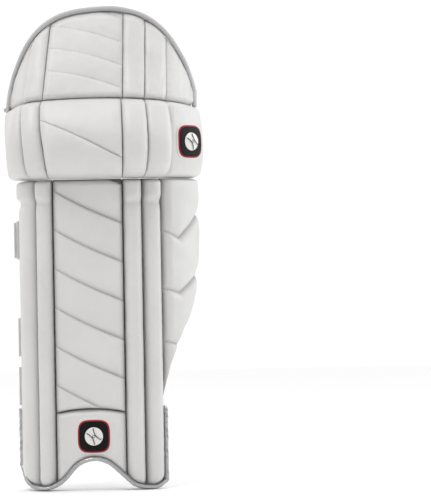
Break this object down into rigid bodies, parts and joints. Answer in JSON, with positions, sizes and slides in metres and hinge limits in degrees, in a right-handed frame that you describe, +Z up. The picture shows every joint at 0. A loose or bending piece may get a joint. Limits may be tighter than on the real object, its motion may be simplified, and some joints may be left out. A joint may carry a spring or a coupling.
{
  "type": "cricket leg pad",
  "caption": "Cricket batting leg pad: bolstered shin, bulging knee roll, leaning top flap, side wing and closing straps round a leg channel.",
  "frame": {"origin": "on the floor, below the centre of the pad's overall width and depth", "axes": "+Z up the leg, -Y the front that the ball hits, +X towards the side wing"},
  "size_m": [0.268, 0.1547, 0.68],
  "materials": {
    "white_cover": "matt white polyurethane-coated cover with a fine grain",
    "grey_piping": "light grey satin piping",
    "silver_binding": "metallic silver binding",
    "lining": "white brushed polyester lining",
    "foam": "high-density foam",
    "cane": "peeled natural cane",
    "board": "stiff plastic board",
    "strap": "white strap with brushed loop pile",
    "hook_tape": "white hook tape",
    "badge": "moulded black badge with a coloured rim"
  },
  "bodies": {
    "shin": {"shin_board": "board", "shin_lining": "lining", "shin_centre_panel": "white_cover", "shin_centre_foam": "foam", "instep_panel": "white_cover", "outer_left_bolster": "white_cover", "inner_left_bolster": "white_cover", "inner_right_bolster": "white_cover", "outer_right_bolster": "white_cover", "bolster_foam_cores": "foam", "bolster_canes": "cane", "bottom_binding": "silver_binding", "instep_badge": "badge", "left_calf_cushion": "lining", "right_calf_cushion": "lining", "ankle_cushion": "lining", "loop_patches": "strap", "strap_anchors": "strap"},
    "knee": {"knee_board": "board", "knee_lining": "lining", "knee_foam_core": "foam", "upper_knee_pad": "white_cover", "lower_knee_pad": "white_cover", "knee_inner_roll": "white_cover", "knee_outer_roll": "white_cover", "knee_left_roll": "white_cover", "knee_left_panel": "white_cover", "knee_wing": "white_cover", "knee_badge": "badge", "knee_cup_cushion": "lining"},
    "top_flap": {"flap_board": "board", "flap_lining": "lining", "flap_foam": "foam", "flap_centre_panel": "white_cover", "flap_left_roll": "white_cover", "flap_inner_roll": "white_cover", "flap_outer_roll": "white_cover", "flap_left_wing": "white_cover", "flap_right_wing": "white_cover", "flap_piping": "grey_piping"},
    "side_wing": {"wing_cover": "white_cover", "wing_stiffener": "board", "wing_lining": "lining"},
    "upper_strap": {"upper_strap": "strap", "upper_strap_hook_patch": "hook_tape", "upper_strap_end_tab": "strap"},
    "calf_strap": {"calf_strap": "strap", "calf_strap_hook_patch": "hook_tape", "calf_strap_end_tab": "strap"},
    "ankle_strap": {"ankle_strap": "strap", "ankle_strap_hook_patch": "hook_tape", "ankle_strap_end_tab": "strap"}
  },
  "joints": [
    {"name": "knee_flex", "type": "hinge", "parent": "shin", "child": "knee", "pos_m": [0, -0.0095, 0.436], "axis": [-1, 0, 0], "range_deg": [-6, 15], "stiffness_Nm_per_rad": 8},
    {"name": "flap_flex", "type": "hinge", "parent": "knee", "child": "top_flap", "pos_m": [0, -0.0135, 0.548], "axis": [-1, 0, 0], "range_deg": [-10, 20], "stiffness_Nm_per_rad": 6},
    {"name": "wing_flex", "type": "hinge", "parent": "shin", "child": "side_wing", "pos_m": [0.07986, -0.00673, 0.282], "axis": [0, 0, -1], "range_deg": [-12, 15], "stiffness_Nm_per_rad": 1},
    {"name": "upper_strap_open", "type": "hinge", "parent": "shin", "child": "upper_strap", "pos_m": [0.06804, 0.01213, 0.352], "axis": [0, 0, -1], "range_deg": [0, 75]},
    {"name": "calf_strap_open", "type": "hinge", "parent": "shin", "child": "calf_strap", "pos_m": [0.06804, 0.01213, 0.215], "axis": [0, 0, -1], "range_deg": [0, 75]},
    {"name": "ankle_strap_open", "type": "hinge", "parent": "shin", "child": "ankle_strap", "pos_m": [0.06804, 0.01213, 0.146], "axis": [0, 0, -1], "range_deg": [0, 75]}
  ]
}
